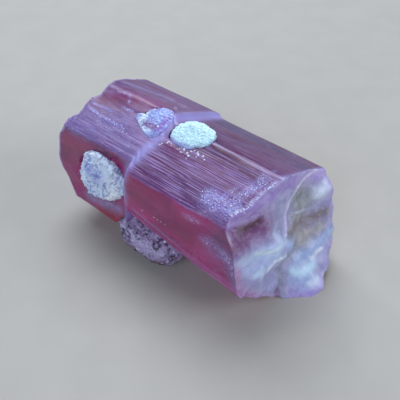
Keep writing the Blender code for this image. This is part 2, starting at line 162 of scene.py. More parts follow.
# Colours laid one over another, each with the line that it follows, how far it fades to either side in mm,
# and a colour. Some of them are painted light and shade, as their names say.
BREAK_TINTS = {
    "mauve under the upper rim": (
        ((6.0, 6.6), (4.6, 6.9), (2.2, 7.2), (0.6, 8.0), (-2.0, 7.0)), 1.4, "#b092e0",
    ),
    "pinker back corner": (((-4.6, 5.8), (-8.2, 4.4)), 1.0, "#c4a4ee"),
    "bluish slope": (((2.0, 4.3), (0.1, 4.3), (1.3, 1.8)), 1.2, "#a3a4ca"),
    # The bowl's grey is partly its own and partly painted shade of the hollow, darkest at its top
    "grey-olive bowl in painted shade": (((-3.4, 3.4), (-4.6, 2.2), (-3.0, 0.4), (-2.6, -1.6), (-3.0, -3.4)), 1.9, "#989a98"),
    "paler side of the bowl": (((-2.6, -2.6), (-4.9, -2.9), (-6.3, -2.7)), 0.9, "#aeaaa6"),
    "brown band in the bowl": (((-7.5, -0.9), (-5.2, -1.2), (-1.9, 0.0), (-0.2, -0.2)), 0.85, "#8a7c7e"),
    "painted shade at the top of the bowl": (((-3.6, 3.3), (-5.6, 1.9), (-6.8, 1.7)), 0.5, "#84868c"),
    "light bit in the bowl": (((-3.0, 1.3), (-4.8, 0.5)), 0.16, "#cdd6e8"),
    "foot of the bowl": (((-0.6, -0.6), (-1.6, -2.6)), 0.6, "#8b8e8e"),
    "white back corner": (((-6.8, 2.1), (-7.8, 2.4), (-8.6, 2.6)), 0.8, "#e6f0ff"),
    "mauve back rim": (((-9.0, 3.6), (-9.0, 1.0), (-8.9, -1.3), (-8.7, -4.4), (-6.9, -6.6)), 0.5, "#b49cda"),
    "crest": (CREST, 0.8, "#b6cdfa"),
    "white under the crest": (((7.4, 1.3), (5.0, 0.3), (3.2, -0.6), (2.0, -1.0)), 1.0, "#c6defc"),
    # The brightest line of the crest is a painted highlight on the raised crest
    "painted highlight on the crest": (((5.3, 1.1), (3.4, 0.1), (1.6, 0.0)), 0.35, "#e4f8ff"),
    "upper arm of the crest": (((2.0, 1.6), (1.7, 0.6), (0.6, -0.5)), 0.4, "#ccdffc"),
    "back crest": (BACK_CREST, 0.9, "#a9c0e8"),
    "lower front": (((7.2, -0.4), (5.5, -1.4), (3.6, -1.7)), 0.9, "#b9c8f2"),
    "low bright patch": (((5.6, -2.4), (4.6, -2.4), (4.8, -3.6)), 0.5, "#cce4fa"),
    "slope beside the furrow": (((3.5, -4.7), (4.6, -5.9), (5.9, -4.5)), 0.9, "#a6a8ce"),
    "knob": (((0.2, -6.8), (-1.7, -7.2), (-0.4, -8.0)), 0.9, "#a0b4dc"),
    # The knob's top is painted lighter, as light falling on it
    "painted light on the top of the knob": (((0.1, -5.3), (-0.2, -6.0), (-1.4, -6.4), (-3.1, -6.2)), 0.6, "#cdeeff"),
    "white side of the knob": (((-1.3, -7.9), (-2.6, -7.8)), 0.4, "#e2f0ff"),
    "furrow": (FURROW, 0.6, "#9297ac"),
    "foot of the furrow": (((2.3, -7.0), (2.7, -8.2)), 0.5, "#8c7c9c"),
    "violet lower rim": (((1.0, -8.8), (-1.0, -8.8), (-3.5, -8.6)), 0.6, "#ab94d6"),
    "pink lower rim": (
        ((8.8, 0.5), (8.7, -1.6), (8.5, -3.1), (7.0, -5.2), (5.4, -7.2), (3.6, -8.6)), 0.9, "#b47eb4",
    ),
    "magenta glass that cuts in": (CUT_IN, 2.0, "#9a549c"),
    "pale arc over the chip": (((7.6, 6.1), (6.3, 5.5), (5.0, 5.4), (3.8, 5.4)), 0.28, "#b99cdc"),
    "garnet-red chip": (((6.4, 4.8), (5.7, 4.4), (4.6, 4.3), (3.8, 4.6)), 0.5, "#642848"),
    "white streaks": (((-3.3, -5.5), (-4.4, -5.4), (-5.6, -5.4)), 0.2, "#f0f8ff"),
    "lip": (LIP, 0.24, "#eefaff"),
    "crack": (CRACK, 0.26, "#e6deff"),
    "white end of the crack": (((-7.8, 5.6), (-5.0, 5.3), (-3.2, 4.9)), 0.45, "#ece6ff"),
}
BODY_TINTS = {
    "red slot over the side grain": (((-10.6, 7.2, 5.3), (-8.4, 7.0, 5.5), (-5.6, 7.0, 5.6)), 0.5, "#861c50"),
    "rose dish on the far top": (DISH, 2.1, "#b84690"),
    "plum round the oval": (((-2.0, 3.3, 8.3), (0.6, 3.6, 8.2), (3.2, 2.6, 8.7)), 1.0, "#8c2c78"),
    "dark plum beyond the oval": (((2.4, 1.4, 9.1), (9.6, 1.6, 9.0)), 1.6, "#5c1a60"),
    # Low by the side grain, in the crystal's shade, a painted red glow of light that passed through it
    "painted red glow low by the side grain": (((-10.4, 8.2, -5.0), (-7.9, 8.4, -4.9), (-5.6, 8.3, -4.6)), 1.3, "#e01038"),
    "mauve skin under the side grain": (SKIN, 0.9, "#b896bc"),
    "rosier far end of the front": (((-17.2, 7.5, 3.0), (-13.6, 7.3, 4.4)), 1.3, "#dc5490"),
    "grey end of the back top": (((-1.0, -6.6, 5.6), (14.0, -6.2, 6.0)), 3.0, "#3c3878"),
    "violet corner of the front": (((9.6, 8.6, 3.4), (11.2, 8.7, 1.6)), 1.8, "#9c4c98"),
    "magenta beside the near break": (((10.2, 8.4, 5.2), (11.2, 8.2, 4.0), (11.9, 8.4, 2.8)), 1.4, "#8a3c88"),
    "mauve veil beside the near break": (VEIL, 1.3, "#a45ca8"),
    "red lower front": (((2.0, 8.9, 1.6), (6.0, 8.9, 1.4)), 0.9, "#bc3076"),
    # Along the low edge of the front, a painted highlight in pale pink
    "painted highlight on the low edge of the front": (((-4.6, 8.4, -2.4), (-1.0, 8.8, -3.0), (10.0, 8.8, -3.4)), 0.6, "#e8a0d0"),
}

# Crumbs of albite and glints: their middle, how far they scatter along x and across, how many, and how large
CRUMBS = {
    "left under the oval": ((-1.3, 3.1, 8.4), (0.8, 0.35), 12, 0.2),
    "middle under the oval": ((0.6, 3.3, 8.3), (0.7, 0.5), 12, 0.2),
    "right under the oval": ((2.1, 3.0, 8.5), (0.7, 0.45), 12, 0.22),
    "over the oval": ((-0.9, -0.9, 9.6), (0.3, 0.2), 3, 0.24),
    "far ridge": ((-8.6, 4.6, 7.5), (2.4, 1.2), 9, 0.15),
    "frosted corner": ((8.4, 6.0, 7.0), (1.5, 0.6), 26, 0.12),
    "on the front": ((1.0, 8.9, 1.5), (1.4, 0.5), 6, 0.12),
}
CRUMB_SEED = 7


class CrystalSettings(bpy.types.PropertyGroup):
    """The prism's relief and colours."""

    refinement: bpy.props.IntProperty(
        name="Refinement", description="How often each face is split before its relief", default=2, min=1,
        max=3,
    )
    rib_spacing: bpy.props.FloatProperty(
        name="Rib Spacing", description="Distance between growth ribs", default=0.8 * MM, unit="LENGTH"
    )
    rib_height: bpy.props.FloatProperty(
        name="Rib Height", description="Height of the growth ribs", default=0.01 * MM, unit="LENGTH"
    )
    hackle_height: bpy.props.FloatProperty(
        name="Hackle Height", description="Roughness of the broken ends", default=0.06 * MM, unit="LENGTH"
    )
    rose: bpy.props.FloatVectorProperty(
        name="Rose", description="Smooth faces", subtype="COLOR", default=linear("#d83c94")
    )
    plum: bpy.props.FloatVectorProperty(
        name="Plum", description="Glass between the ribs", subtype="COLOR", default=linear("#7a2e86")
    )
    violet: bpy.props.FloatVectorProperty(
        name="Violet", description="Crests of the ribs", subtype="COLOR", default=linear("#ac88d8")
    )
    lavender: bpy.props.FloatVectorProperty(
        name="Lavender", description="The growth ring", subtype="COLOR", default=linear("#c4b4f2")
    )
    depth_colour: bpy.props.FloatVectorProperty(
        name="Depth Colour", description="What the crystal leaves of white light", subtype="COLOR",
        default=linear("#ee8cd6"),
    )
    depth_density: bpy.props.FloatProperty(
        name="Depth Density", description="How strongly the crystal absorbs, per metre", default=110.0
    )


class StudioSettings(bpy.types.PropertyGroup):
    """The floor, the light and the camera."""

    floor_colour: bpy.props.FloatVectorProperty(
        name="Floor", description="Colour of the floor", subtype="COLOR", default=linear("#b6b0a4")
    )
    aim: bpy.props.FloatVectorProperty(
        name="Aim", description="Where the camera looks", subtype="XYZ", unit="LENGTH",
        default=(-3.76 * MM, 4.99 * MM, 0.0),
    )
    azimuth: bpy.props.FloatProperty(
        name="Azimuth", description="Way round to the camera", subtype="ANGLE", default=math.radians(39.1)
    )
    elevation: bpy.props.FloatProperty(
        name="Elevation", description="Camera's angle over the table", subtype="ANGLE",
        default=math.radians(45.3),
    )
    distance: bpy.props.FloatProperty(
        name="Distance", description="From the aim to the camera", default=80.0 * MM, unit="LENGTH"
    )
    lens: bpy.props.FloatProperty(
        name="Lens", description="Focal length on a 36 mm wide frame", default=46.8, unit="CAMERA"
    )


def make_active(piece):
    """Selects one object alone and makes it the one that operators act on."""
    if bpy.context.object and bpy.context.object.mode != "OBJECT":
        bpy.ops.object.mode_set(mode="OBJECT")
    bpy.ops.object.select_all(action="DESELECT")
    piece.select_set(True)
    bpy.context.view_layer.objects.active = piece


def copy_of(node_name, piece_name):
    """A new piece with the shape of a CAD node, its loose triangles merged into one skin of quads."""
    piece = bpy.data.objects.new(piece_name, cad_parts[node_name].data.copy())
    piece.data.name = piece_name
    piece.data.materials.clear()
    bpy.context.scene.collection.objects.link(piece)
    make_active(piece)
    bpy.ops.object.mode_set(mode="EDIT")
    bpy.ops.mesh.select_all(action="SELECT")
    bpy.ops.mesh.remove_doubles(threshold=WELD_GAP)
    bpy.ops.mesh.tris_convert_to_quads(face_threshold=QUAD_FACES, shape_threshold=QUAD_SHAPES)
    bpy.ops.mesh.customdata_custom_splitnormals_clear()
    bpy.ops.object.mode_set(mode="OBJECT")
    return piece


def apply_modifier(piece, kind, **settings):
    """Adds a modifier with its settings and applies it at once."""
    make_active(piece)
    modifier = piece.modifiers.new(kind.title(), kind)
    for name, value in settings.items():
        setattr(modifier, name, value)
    bpy.ops.object.modifier_apply(modifier=modifier.name)


def weight_group(piece, name, weights):
    """A vertex group with one weight for each vertex."""
    group = piece.vertex_groups.new(name=name)
    for i, weight in enumerate(weights):
        if weight > LEAST_WEIGHT:
            group.add([i], float(weight), "REPLACE")
    return name


def displace(piece, texture_kind, height, size, stretch=1.0, group="", **texture_settings):
    """Lifts the surface along its normals by a texture whose grain is size wide and stretched along X."""
    guide = bpy.data.objects.new("texture_guide", None)
    guide.scale = (size * stretch, size, size)
    bpy.context.scene.collection.objects.link(guide)
    bpy.context.view_layer.update()
    texture = bpy.data.textures.new("relief", texture_kind)
    for name, value in texture_settings.items():
        setattr(texture, name, value)
    apply_modifier(
        piece, "DISPLACE", texture=texture, texture_coords="OBJECT", texture_coords_object=guide,
        strength=height, mid_level=0.5, vertex_group=group,
    )
    bpy.data.objects.remove(guide)
    bpy.data.textures.remove(texture)


def points_of(piece):
    """Every vertex as a row of x, front and up in millimetres."""
    places = np.empty(len(piece.data.vertices) * 3, np.float32)
    piece.data.vertices.foreach_get("co", places)
    places = places.reshape(-1, 3).astype(float) / MM
    return np.column_stack((places[:, 0], -places[:, 1], places[:, 2] - AXIS_HEIGHT))


def normals_of(piece):
    """The way each vertex looks, as a row of x, front and up."""
    normals = np.empty(len(piece.data.vertices) * 3, np.float32)
    piece.data.vertex_normals.foreach_get("vector", normals)
    normals = normals.reshape(-1, 3).astype(float)
    return np.column_stack((normals[:, 0], -normals[:, 1], normals[:, 2]))


def in_frame(place):
    """A place of x, front and up in millimetres as a point in metres."""
    return Vector((place[0], -place[1], place[2] + AXIS_HEIGHT)) * MM


def move_to(piece, points):
    """Puts every vertex at its row of x, front and up, and never under the table."""
    places = np.column_stack((points[:, 0], -points[:, 1], np.maximum(points[:, 2] + AXIS_HEIGHT, 0.0))) * MM
    piece.data.vertices.foreach_set("co", places.astype(np.float32).ravel())
    piece.data.update()


def rest_on_table(piece):
    """Lifts what is under the table onto it, and gives the places as they were before."""
    points = points_of(piece)
    move_to(piece, points)
    return points


def step(values, low, high):
    """0 below low, 1 above high and smooth between them; low may be the larger."""
    share = np.clip((values - low) / (high - low), 0.0, 1.0)
    return share * share * (3.0 - 2.0 * share)


def waves(points, size, slice_at=0.0):
    """Smooth noise between about -1 and 1; size is the width of a wave, or one for each direction."""
    scaled = points / np.asarray(size) + slice_at
    return np.array([noise.noise(Vector(point)) for point in scaled])


def ridged(points, size, slice_at=0.0):
    """Noise with sharp crests, from 0 in its hollows to 1 on the crests."""
    return 1.0 - np.abs(waves(points, size, slice_at)) * 2.0


def across_line(points, line):
    """How far each point lies from a line of places, and on which side of it, as -1 or 1."""
    places = points[:, -len(line[0]) :]
    nearest = np.full(len(places), np.inf)
    side = np.zeros(len(places))
    for start, end in zip(line, line[1:]):
        along = np.array(end) - np.array(start)
        away = places - np.array(start)
        share = np.clip(away @ along / (along @ along), 0.0, 1.0)
        distance = np.linalg.norm(away - share[:, None] * along, axis=1)
        closer = distance < nearest
        turn = along[-2] * away[:, -1] - along[-1] * away[:, -2]
        nearest = np.where(closer, distance, nearest)
        side = np.where(closer, np.where(turn > 0, -1.0, 1.0), side)
    return nearest, side


def along_line(points, line, width):
    """1 on a line of places and fading out over its width."""
    return np.exp(-((across_line(points, line)[0] / width) ** 2))


def near_place(points, centre, reach):
    """1 at a place and fading out round it, with a reach in millimetres for each direction."""
    return np.exp(-(((points - np.array(centre)) / np.array(reach)) ** 2).sum(axis=1))


def mixed(colour, other, share):
    """Each row of colour taken towards another colour by its share."""
    return colour + (np.array(other) - colour) * share[:, None]


def painted(points, colour, tints, unevenness):
    """Lays colours one over another, painted light and shade among them, each fading from its line with an
    uneven edge.
    """
    for line, width, hex_colour in tints.values():
        distance = np.maximum(across_line(points, line)[0] + unevenness * math.sqrt(width), 0.0)
        colour = mixed(colour, linear(hex_colour), np.exp(-((distance / width) ** 2)))
    return colour


def ring_place(points):
    """Where the growth ring lies along x for the stretch of surface that each point is on."""
    turn = np.degrees(np.arctan2(points[:, 2], points[:, 1]))
    return np.interp(turn, list(RING_LINE), list(RING_LINE.values()))


def bend_ring(points):
    """Moves the step of the growth ring along the prism to its curved line."""
    near_ring = np.exp(-(((points[:, 0] - RING_X) / RING_REACH) ** 2))
    bent = points.copy()
    bent[:, 0] += (ring_place(points) - RING_X) * near_ring
    return bent


def region_masks(points, normals):
    """Where each finish of the crystal lies, as a share from 0 to 1 for every vertex."""
    facing = np.degrees(np.arctan2(normals[:, 2], normals[:, 1]))
    x, front, up = points.T
    rough = 0.55 * waves(points, 2.6) + 0.35 * waves(points, 0.9)
    broken_near = step(normals[:, 0] + 0.16 * rough, 0.14, 0.5) * step(x, 8.0, 10.0)
    broken_far = step(-normals[:, 0], 0.2, 0.5) * step(-x, 6.0, 9.0)
    broken = np.maximum(broken_near, broken_far)
    whole = 1.0 - broken
    cut_in = along_line(points, CUT_IN, 1.7) * broken_near
    turn = np.degrees(np.arctan2(up, front))
    edge = 0.15 * facing + 0.85 * turn + 6.0 * rough
    top = step(edge, 30.0, 41.0) * step(facing, -40.0, -20.0) * step(facing, 104.0, 92.0) * whole
    back_top = step(facing, 92.0, 104.0) * step(facing, 160.0, 140.0) * whole
    past_ring = ring_place(points) - x
    far_part = step(past_ring, 0.0, 0.8) * whole
    dish = along_line(points, DISH, 2.2)
    strip = step(facing, 1.0, -5.0) * step(facing, -40.0, -24.0) * (1.0 - far_part) * whole
    ring_width = 0.8 + 0.3 * waves(points, (9.0, 1.6, 1.6), 3.0)
    over_base = np.maximum(step(up, -4.6, -1.6), step(-front, -3.0, 0.0))
    ring = np.exp(-(((past_ring - 0.2) / ring_width) ** 2)) * over_base * whole
    near_rim = np.exp(-((step(normals[:, 0], 0.0, 0.4) - 0.5) / 0.3) ** 2) * step(x, 8.0, 10.0)
    worn_edges = np.exp(-(((facing - 35.0) / 10.0) ** 2)) * whole
    frost = 0.3 * worn_edges + 0.35 * far_part * top * (1.0 - dish) * step(front, 0.0, 3.0)
    for line, width, strength in FROST_LINES.values():
        frost += strength * along_line(points, line, width)
    for middle, reach, strength in FROST_SPOTS.values():
        frost += strength * near_place(points, middle, reach)
    frost *= 1.0 - near_place(points, *CLEAR_SPOT)
    rim_line = along_line(points, TOP_RIM, 0.35)
    return {
        "broken": broken,
        "broken_near": broken_near,
        "top": top,
        "back_top": back_top,
        "ribbed": np.clip(top * (1.0 - 0.95 * dish) + 0.45 * back_top, 0.0, 1.0),
        "lined": np.clip(0.8 * strip + 0.14 * (1.0 - top) * whole, 0.0, 1.0),
        "far_part": far_part,
        "ring": ring,
        "near_rim": np.clip(near_rim * step(up, 5.2, 7.0) + rim_line * (1.0 + rough), 0.0, 1.0),
        "milky": broken * (1.0 - 0.8 * cut_in),
        "frost": np.clip(frost * (1.0 + 0.9 * rough), 0.0, 1.0) * whole,
    }


def crystal_tint(points, masks, settings):
    """The colour of the crystal at every vertex, before its fine lines and clouds."""
    unevenness = 0.22 * waves(points, 0.8, 9.0) + 0.16 * waves(points, 0.35, 4.0)
    colour = np.tile(np.array(settings.rose), (len(points), 1))
    colour = mixed(colour, settings.plum, np.clip(masks["top"] + masks["back_top"], 0.0, 1.0))
    colour = painted(points, colour, BODY_TINTS, unevenness)
    colour = mixed(colour, settings.lavender, 0.75 * masks["ring"])
    end = np.tile(np.array(linear(BREAK_BASE)), (len(points), 1))
    end = painted(points, end, BREAK_TINTS, unevenness)
    far_end = np.tile(np.array(linear(FAR_BREAK_BASE)), (len(points), 1))
    far_end = mixed(far_end, linear(FAR_BREAK_GREY), 0.6 * step(waves(points, 3.4, 11.0), 0.0, 0.5))
    far_end = mixed(far_end, linear(FAR_BREAK_PALE), 0.4 * step(ridged(points, 3.0, 8.0), 0.7, 1.0))
    end = np.where(points[:, :1] > 0.0, end, far_end)
    return mixed(colour, end, masks["broken"])


def sculpt_break(points, masks):
    """The relief of both breaks in millimetres; the near one has its crack, crests, lip, furrow and knob."""
    crack, side = across_line(points, CRACK)
    knob, inside = across_line(points, KNOB_EDGE)
    lumps = 0.5 + 0.5 * ridged(points, 1.6)
    lift = 0.14 * np.exp(-((crack / 0.25) ** 2)) - 0.12 * (side > 0) * np.exp(-((crack / 1.0) ** 2))
    lift += lumps * (0.22 * along_line(points, CREST, 0.6) + 0.2 * along_line(points, BACK_CREST, 0.5))
    lift += 0.16 * along_line(points, LIP, 0.22)
    lift -= 0.28 * along_line(points, FURROW, 0.45)
    lift += 0.2 * np.exp(-((knob / 0.5) ** 2)) * (inside < 0)
    hackle = ridged(points, (2.4, 1.1, 1.7)) - 0.5 + 0.5 * (ridged(points, 0.7, 5.0) - 0.5)
    steps = ridged(points, (4.0, 3.2, 3.6), 8.0) + 0.5 * hackle
    broken_far = masks["broken"] - masks["broken_near"]
    return masks["broken_near"] * (lift + 0.08 * hackle) + broken_far * 0.2 * steps


def growth_ribs(points, masks, settings):
    """The height of the growth ribs in millimetres: straight along the crystal, strongest on its top."""
    spacing = settings.rib_spacing / MM
    coarse = waves(points, (60.0, spacing, spacing), 2.0)
    fine = waves(points, (30.0, spacing * 0.6, spacing * 0.6), 6.0)
    share = masks["ribbed"] + 1.2 * masks["lined"]
    return share * (coarse + 0.6 * fine) * settings.rib_height / MM


def store_masks(piece, masks):
    """Keeps each mask as an attribute of its name, which the materials read."""
    for name, shares in masks.items():
        attribute = piece.data.attributes.new(name, "FLOAT", "POINT")
        attribute.data.foreach_set("value", shares.astype(np.float32))


def store_tint(piece, colours):
    """Keeps one colour for each vertex as an attribute, which the materials read."""
    attribute = piece.data.color_attributes.new("tint", "FLOAT_COLOR", "POINT")
    rows = np.column_stack((colours, np.ones(len(colours))))
    attribute.data.foreach_set("color", rows.astype(np.float32).ravel())


def add_node(tree, kind, links=(), output=0, **settings):
    """Adds a shader node with its settings and gives one of its outputs.

    Links holds the node's inputs, by name or in their order: each is a value or another node's output.
    """
    new = tree.nodes.new("ShaderNode" + kind)
    for name, value in settings.items():
        setattr(new, name, value)
    for name, value in links.items() if isinstance(links, dict) else enumerate(links):
        socket = new.inputs[name]
        if isinstance(value, bpy.types.NodeSocket):
            tree.links.new(value, socket)
        else:
            socket.default_value = (*value, 1.0) if socket.type == "RGBA" else value
    return new.outputs[output] if new.outputs else None


# Settings that many of the nodes share
TIMES = {"operation": "MULTIPLY", "use_clamp": True}
LARGEST = {"operation": "MAXIMUM", "use_clamp": True}
SMOOTH = {"interpolation_type": "SMOOTHSTEP"}


def new_material(name):
    """An empty material, and the call that adds nodes to it."""
    material = bpy.data.materials.new(name)
    material.use_nodes = True
    material.node_tree.nodes.clear()
    return material, functools.partial(add_node, material.node_tree)


def in_millimetres(add, size_mm, along=1.0):
    """The place on the piece in steps of size_mm, which are longer by a factor along the crystal."""
    where = add("TexCoord", output="Object")
    scale = [1.0 / (size_mm * MM * stretch) for stretch in (along, 1.0, 1.0)]
    return add("Mapping", {"Vector": where, "Scale": scale})


def specks(add, size_mm, share):
    """1 on round specks and 0 between them; share is how many of the grains have one."""
    shade, distance = (
        add("TexVoronoi", {"Vector": in_millimetres(add, size_mm), "Scale": 1.0}, output=output)
        for output in ("Color", "Distance")
    )
    chosen = add("MapRange", (shade, 1.0 - share, 1.1 - share), **SMOOTH)
    spots = add("MapRange", (distance, 0.5, 0.25), **SMOOTH)
    return add("Math", (chosen, spots), **TIMES)


def rubellite_material(settings):
    """Rubellite, broken off and left as it grew.

    It gives the eye clear pink-red glass with cloudy veils, a sheen along fine frosted growth lines, a
    lavender haze on worn edges, and waxy milky breaks.
    """
    material, add = new_material("rubellite_as_grown")
    tint = add("Attribute", output="Color", attribute_name="tint")
    broken, ribbed, lined, far_part, top, frost, ring, near_rim, milky = (
        add("Attribute", output="Fac", attribute_name=name)
        for name in ("broken", "ribbed", "lined", "far_part", "top", "frost", "ring", "near_rim", "milky")
    )
    # The growth lines are ribs, hairlines between them, where along the crystal each one shows, and dashes
    # on them. The real ones are 0.01 to 0.05 mm wide, too fine to show, so they are drawn coarser. So is the
    # grit of the worn places, really about 0.05 mm. The clouds and veils inside the glass have their real
    # size. Each has its size in mm, how much longer it is along the crystal, its detail and its roughness.
    ribs, hairs, breaks, glitter, grit, clouds, veils = (
        add(
            "TexNoise",
            {"Vector": in_millimetres(add, size, along), "Scale": 1.0, "Detail": detail, "Roughness": rough},
        )
        for size, along, detail, rough in (
            (0.17, 160.0, 1.0, 0.5), (0.1, 200.0, 1.0, 0.5), (0.16, 28.0, 2.0, 0.5), (0.09, 44.0, 0.0, 0.5),
            (0.2, 1.0, 1.0, 0.5), (3.2, 2.2, 2.0, 0.5), (1.1, 1.0, 4.0, 0.6),
        )
    )

    lined = add("Math", (ribbed, lined), **LARGEST)
    shown = add("MapRange", (breaks, 0.36, 0.6, 0.15, 1.0), **SMOOTH)
    line = add("MapRange", (ribs, 0.52, 0.66, 0.0, 0.36), **SMOOTH)
    hairline = add("MapRange", (hairs, 0.55, 0.66, 0.0, 0.56), **SMOOTH)
    line = add("Math", (line, hairline), **LARGEST)
    line = add("Math", (line, shown), **TIMES)
    line = add("Math", (line, lined), **TIMES)
    line_colour = add("MixRGB", (ribbed, linear("#ee9ccc"), settings.violet))
    # Short bright dashes where a growth line's edge catches the light, and specks where it is chipped
    dashes = add("MapRange", (glitter, 0.61, 0.67, 0.0, 0.42), **SMOOTH)
    chips = add("Math", (specks(add, 0.26, 0.09), 0.9), **TIMES)
    dashes = add("Math", (dashes, chips), **LARGEST)
    dashes = add("Math", (dashes, ribbed), **TIMES)

    # The faces: dark clouds, pale veils, growth lines, and the lavender cast of the far stretch's ribs. On
    # the top, the violet of the lines and ribs is partly their frost and partly a painted sheen of the bluish
    # light.
    cloud_share = add("MapRange", (clouds, 0.42, 0.62, 0.0, 0.5), **SMOOTH)
    body = add("MixRGB", (cloud_share, tint, linear("#8c2468")))
    veil_share = add("MapRange", (veils, 0.5, 0.72, 0.0, 0.22), **SMOOTH)
    body = add("MixRGB", (veil_share, body, linear("#d68cc4")))
    body = add("MixRGB", (line, body, line_colour))
    far_ribs = add("Math", (far_part, ribbed), **TIMES)
    far_ribs = add("Math", (far_ribs, 0.32), **TIMES)
    body = add("MixRGB", (far_ribs, body, settings.violet))
    body = add("MixRGB", (dashes, body, linear("#e2aeea")))

    # The breaks: grey mottling, and a paler cast with a sharp edge between the mottles
    mottle = add("MapRange", (veils, 0.5, 0.7, 0.0, 0.2), **SMOOTH)
    end = add("MixRGB", (mottle, tint, linear("#8f8cae")))
    pale = add("MapRange", (veils, 0.512, 0.5, 0.0, 0.16), **SMOOTH)
    end = add("MixRGB", (pale, end, linear("#eef0ff")))
    colour = add("MixRGB", (broken, body, end))

    # Haze is where the surface scatters the light: frost, glints, growth lines, the ring, the rim, the breaks
    worn = add("MapRange", (grit, 0.35, 0.6, 0.25, 0.7), **SMOOTH)
    haze = add("Math", (frost, worn), **TIMES)
    glints = add("Math", (frost, 1.6), **TIMES)
    glints = add("Math", (glints, specks(add, 0.16, 0.45)), **TIMES)
    worn_rim = add("MapRange", (grit, 0.38, 0.6, 0.3, 1.0), **SMOOTH)
    worn_rim = add("Math", (near_rim, worn_rim), **TIMES)
    strengths = ((glints, 1.0), (line, 0.55), (dashes, 1.0), (ring, 0.6), (worn_rim, 1.0), (milky, 0.8))
    for part, strength in strengths:
        hazy = add("Math", (part, strength), **TIMES)
        haze = add("Math", (haze, hazy), **LARGEST)
    bright = add("Math", (glints, worn_rim), **LARGEST)
    haze_colour = add("MixRGB", (bright, linear("#a8a8ea"), linear("#e6ecff")))
    haze_colour = add("MixRGB", (line, haze_colour, line_colour))
    haze_colour = add("MixRGB", (dashes, haze_colour, linear("#e2aeea")))
    haze_colour = add("MixRGB", (broken, haze_colour, end))

    grown = add("Math", (lined, top), **LARGEST)
    rough = add("MapRange", (grown, 0.0, 0.6, 0.14, 0.42), **SMOOTH)
    rough = add("Math", (rough, add("Math", (broken, 0.3), **TIMES)), **LARGEST)
    relief = add("Math", (ribs, hairs), **LARGEST)
    relief = add("Math", (relief, lined), **TIMES)
    ribs_bump = add("Bump", {"Height": relief, "Strength": 0.5, "Distance": 0.04 * MM})
    uneven = add("Math", (frost, add("Math", (broken, 0.5), **TIMES)), **LARGEST)
    uneven = add("Math", (grit, uneven), **TIMES)
    bump = add("Bump", {"Height": uneven, "Strength": 0.5, "Distance": 0.05 * MM, "Normal": ribs_bump})
    glass = add(
        "BsdfPrincipled",
        {
            "Base Color": colour, "Roughness": rough, "IOR": TOURMALINE_IOR, "Transmission Weight": 0.6,
            "Normal": bump,
        },
    )
    skin = add("BsdfPrincipled", {"Base Color": haze_colour, "Roughness": 0.42, "Normal": bump})
    surface = add("MixShader", (haze, glass, skin))
    inside = add("VolumeAbsorption", {"Color": settings.depth_colour, "Density": settings.depth_density})
    add("OutputMaterial", {"Surface": surface, "Volume": inside})
    return material


def albite_material(name, dark, dark_share, grain_mm):
    """Sugary albite, as it grew on the crystal, of cleaved grains grain_mm wide.

    It gives the eye pale grains that scatter the light and glint here and there, with dark pits and seams.
    """
    material, add = new_material(name)
    tint = add("Attribute", output="Color", attribute_name="tint")
    facets, seams = (
        add("TexVoronoi", {"Vector": in_millimetres(add, grain_mm), "Scale": 1.0}, output=output)
        for output in ("Color", "Distance")
    )
    # Dark blotches span two or three grains, and speckle breaks them up within each grain
    blotches, speckle = (
        add("TexNoise", {"Vector": in_millimetres(add, size), "Scale": 1.0, "Detail": detail})
        for size, detail in ((grain_mm * 2.6, 3.0), (grain_mm * 0.8, 2.0))
    )
    blotches = add("MapRange", (blotches, 0.44, 0.58), **SMOOTH)
    speckle = add("MapRange", (speckle, 0.42, 0.58), **SMOOTH)
    shade = add("Math", (blotches, speckle), **TIMES)
    dark_grains = add("MapRange", (facets, 0.75, 0.95, 0.0, 0.5), **SMOOTH)
    shade = add("Math", (shade, dark_grains), **LARGEST)
    shade = add("Math", (shade, dark_share), **TIMES)
    colour = add("MixRGB", (shade, tint, linear(dark)))
    colour = add("MixRGB", (specks(add, grain_mm * 0.7, 0.2), colour, linear("#f6fcff")))
    halves = [add("Math", (part, 0.5), **TIMES) for part in (facets, seams)]
    height = add("Math", halves, operation="ADD", use_clamp=True)
    bump = add("Bump", {"Height": height, "Strength": 0.5, "Distance": 0.08 * MM})
    body = add(
        "BsdfPrincipled",
        {
            "Base Color": colour, "Roughness": 0.4, "IOR": ALBITE_IOR, "Subsurface Weight": 0.2,
            "Subsurface Radius": (1.0, 1.0, 1.0), "Subsurface Scale": 0.3 * MM, "Normal": bump,
        },
    )
    add("OutputMaterial", {"Surface": body})
    return material


def floor_material(settings):
    """Board painted matt with a roller: an even pale grey with the roller's faint mottle, 6 mm wide."""
    material, add = new_material("matt_painted_board")
    mottle = add("TexNoise", {"Vector": in_millimetres(add, 6.0), "Scale": 1.0, "Detail": 2.0})
    mottle = add("MapRange", (mottle, 0.3, 0.7), **SMOOTH)
    darker = [part * 0.96 for part in settings.floor_colour]
    colour = add("MixRGB", (mottle, settings.floor_colour, darker))
    body = add("BsdfPrincipled", {"Base Color": colour, "Roughness": 0.7})
    add("OutputMaterial", {"Surface": body})
    return material


